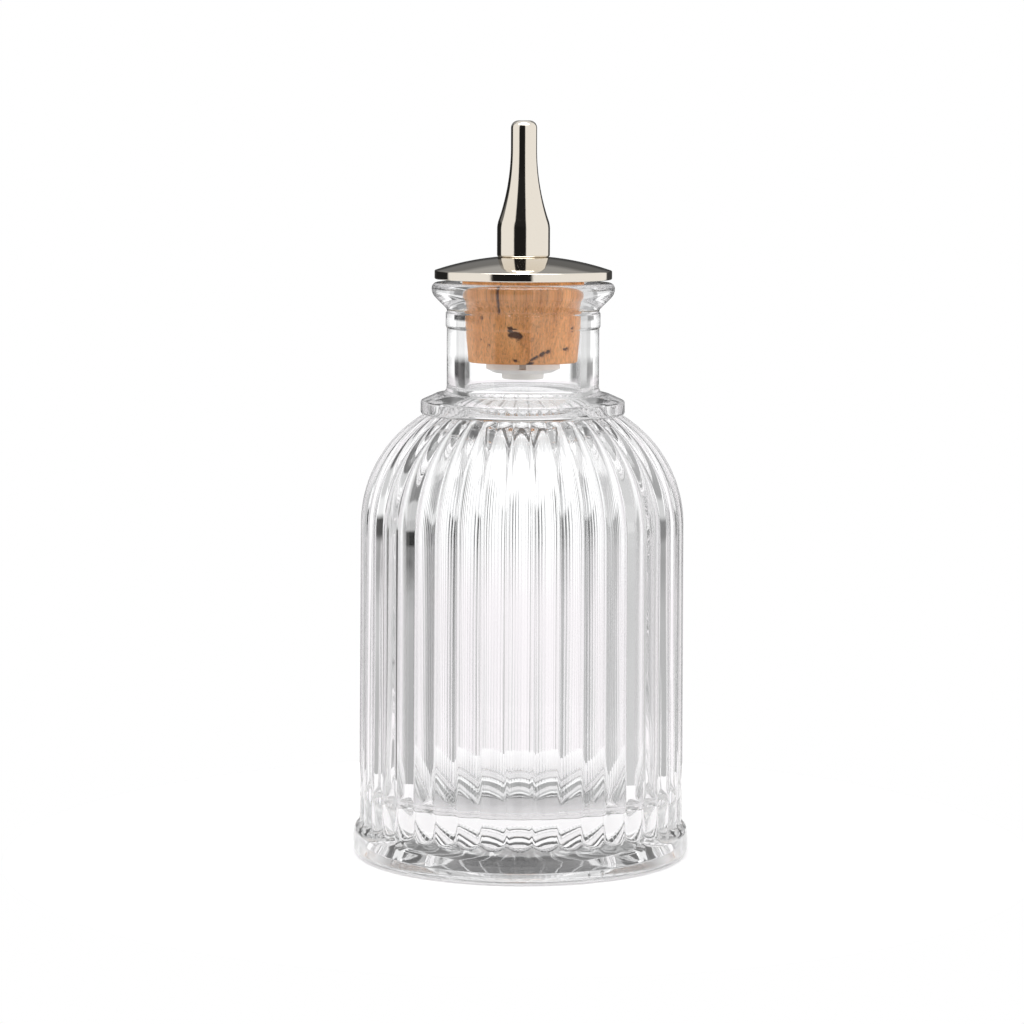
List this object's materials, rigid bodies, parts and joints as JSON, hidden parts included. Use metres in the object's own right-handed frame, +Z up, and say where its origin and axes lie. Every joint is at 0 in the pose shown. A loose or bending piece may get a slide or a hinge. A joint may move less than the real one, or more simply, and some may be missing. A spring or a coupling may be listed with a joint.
{
  "type": "bitters bottle",
  "caption": "Small ribbed glass bottle for bitters, closed by a cork with a domed metal disc and a pointed dash spout; the stopper pulls out.",
  "frame": {"origin": "centre of the foot, on the surface that the bottle stands on", "axes": "+Z up along the axis of the bottle and the spout; the front of the bottle faces -Y"},
  "size_m": [0.06, 0.06, 0.1303],
  "materials": {
    "clear_glass": "clear, fire polished",
    "natural_cork": "natural cork, dry",
    "polished_metal": "mirror polished, bright nickel tone",
    "milky_plastic": "milky translucent plastic"
  },
  "bodies": {
    "bottle": {"glass_bottle": "clear_glass"},
    "stopper": {"cork_stopper": "natural_cork", "cap_disc": "polished_metal", "dash_spout": "polished_metal", "core_tube": "milky_plastic", "retaining_ring": "milky_plastic", "flow_plug": "milky_plastic"}
  },
  "joints": [
    {"name": "stopper_lift", "type": "slide", "parent": "bottle", "child": "stopper", "axis": [0, 0, 1], "range_m": [0, 0.025]}
  ]
}
